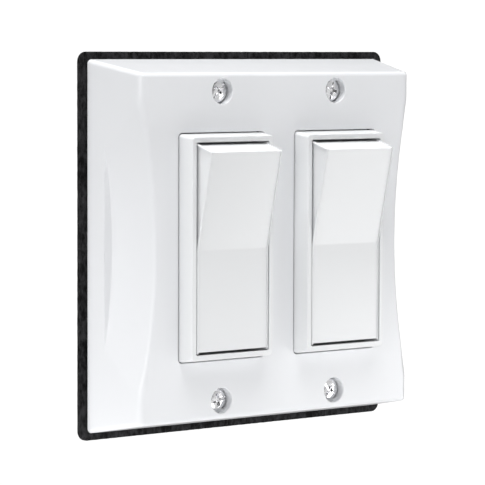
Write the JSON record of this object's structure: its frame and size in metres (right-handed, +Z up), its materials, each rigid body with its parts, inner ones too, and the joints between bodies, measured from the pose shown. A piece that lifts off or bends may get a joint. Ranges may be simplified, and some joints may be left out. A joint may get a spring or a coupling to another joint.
{
  "type": "rocker wall switch",
  "caption": "Wall-mounted rocker switches side by side in a deep weatherproof cover with sloping sides, finger scoops and a foam gasket; each rocker tilts to work its see-saw contact.",
  "frame": {"origin": "on the wall plane (the gasket's back face), midway between the cover screws", "axes": "+X to the right as seen from the front, +Y into the wall, +Z up"},
  "size_m": [0.1234, 0.0496, 0.1212],
  "materials": {
    "cover_plastic": "glossy white moulded plastic",
    "rocker_plastic": "glossy white moulded plastic",
    "gasket_foam": "matt black closed-cell foam",
    "screw_chrome": "bright plated steel",
    "strap_steel": "zinc-plated sheet steel",
    "body_plastic": "fine-grained dark moulded plastic",
    "plunger_plastic": "natural engineering plastic",
    "spring_steel": "drawn spring wire",
    "terminal_brass": "stamped brass",
    "contact_silver": "satin silver alloy",
    "ground_green": "green dyed screw",
    "washer_fibre": "pressed red fibre"
  },
  "bodies": {
    "base": {"weatherproof_cover": "cover_plastic", "foam_gasket": "gasket_foam", "cover_screw_left_top": "screw_chrome", "cover_screw_left_bottom": "screw_chrome", "cover_screw_right_top": "screw_chrome", "cover_screw_right_bottom": "screw_chrome", "left_frame": "rocker_plastic", "left_window_seal": "gasket_foam", "left_mounting_strap": "strap_steel", "left_switch_body": "body_plastic", "left_fixed_contact": "contact_silver", "left_common_terminal": "terminal_brass", "left_switched_terminal": "terminal_brass", "left_common_terminal_screw": "terminal_brass", "left_switched_terminal_screw": "terminal_brass", "left_ground_screw": "ground_green", "left_rivet_top": "strap_steel", "left_rivet_bottom": "strap_steel", "left_box_screw_top": "strap_steel", "left_box_screw_bottom": "strap_steel", "left_captive_washer_top": "washer_fibre", "left_captive_washer_bottom": "washer_fibre", "right_frame": "rocker_plastic", "right_window_seal": "gasket_foam", "right_mounting_strap": "strap_steel", "right_switch_body": "body_plastic", "right_fixed_contact": "contact_silver", "right_common_terminal": "terminal_brass", "right_switched_terminal": "terminal_brass", "right_common_terminal_screw": "terminal_brass", "right_switched_terminal_screw": "terminal_brass", "right_ground_screw": "ground_green", "right_rivet_top": "strap_steel", "right_rivet_bottom": "strap_steel", "right_box_screw_top": "strap_steel", "right_box_screw_bottom": "strap_steel", "right_captive_washer_top": "washer_fibre", "right_captive_washer_bottom": "washer_fibre"},
    "left_rocker": {"left_paddle": "rocker_plastic", "left_plunger_spring": "spring_steel"},
    "left_plunger_pin": {"left_plunger": "plunger_plastic"},
    "left_contact_rocker": {"left_contact_arm": "terminal_brass", "left_moving_contact": "contact_silver"},
    "right_rocker": {"right_paddle": "rocker_plastic", "right_plunger_spring": "spring_steel"},
    "right_plunger_pin": {"right_plunger": "plunger_plastic"},
    "right_contact_rocker": {"right_contact_arm": "terminal_brass", "right_moving_contact": "contact_silver"}
  },
  "joints": [
    {"name": "left_rocker_hinge", "type": "hinge", "parent": "base", "child": "left_rocker", "pos_m": [-0.02302, -0.0235, 0], "axis": [-1, 0, 0], "range_deg": [0, 13]},
    {"name": "left_plunger_slide", "type": "slide", "parent": "left_rocker", "child": "left_plunger_pin", "axis": [0, -0.9936, -0.1132], "range_m": [0, 0.0008], "stiffness_N_per_m": 400, "springref_m": -0.002, "deforming": ["left_plunger_spring"]},
    {"name": "left_contact_hinge", "type": "hinge", "parent": "base", "child": "left_contact_rocker", "pos_m": [-0.02302, -0.008, 0], "axis": [-1, 0, 0], "range_deg": [-10, 0]},
    {"name": "right_rocker_hinge", "type": "hinge", "parent": "base", "child": "right_rocker", "pos_m": [0.02302, -0.0235, 0], "axis": [-1, 0, 0], "range_deg": [0, 13]},
    {"name": "right_plunger_slide", "type": "slide", "parent": "right_rocker", "child": "right_plunger_pin", "axis": [0, -0.9936, -0.1132], "range_m": [0, 0.0008], "stiffness_N_per_m": 400, "springref_m": -0.002, "deforming": ["right_plunger_spring"]},
    {"name": "right_contact_hinge", "type": "hinge", "parent": "base", "child": "right_contact_rocker", "pos_m": [0.02302, -0.008, 0], "axis": [-1, 0, 0], "range_deg": [-10, 0]}
  ],
  "couplings": [
    {"joint": "left_contact_hinge", "follows": "left_rocker_hinge", "ratio": -0.769},
    {"joint": "right_contact_hinge", "follows": "right_rocker_hinge", "ratio": -0.769}
  ]
}
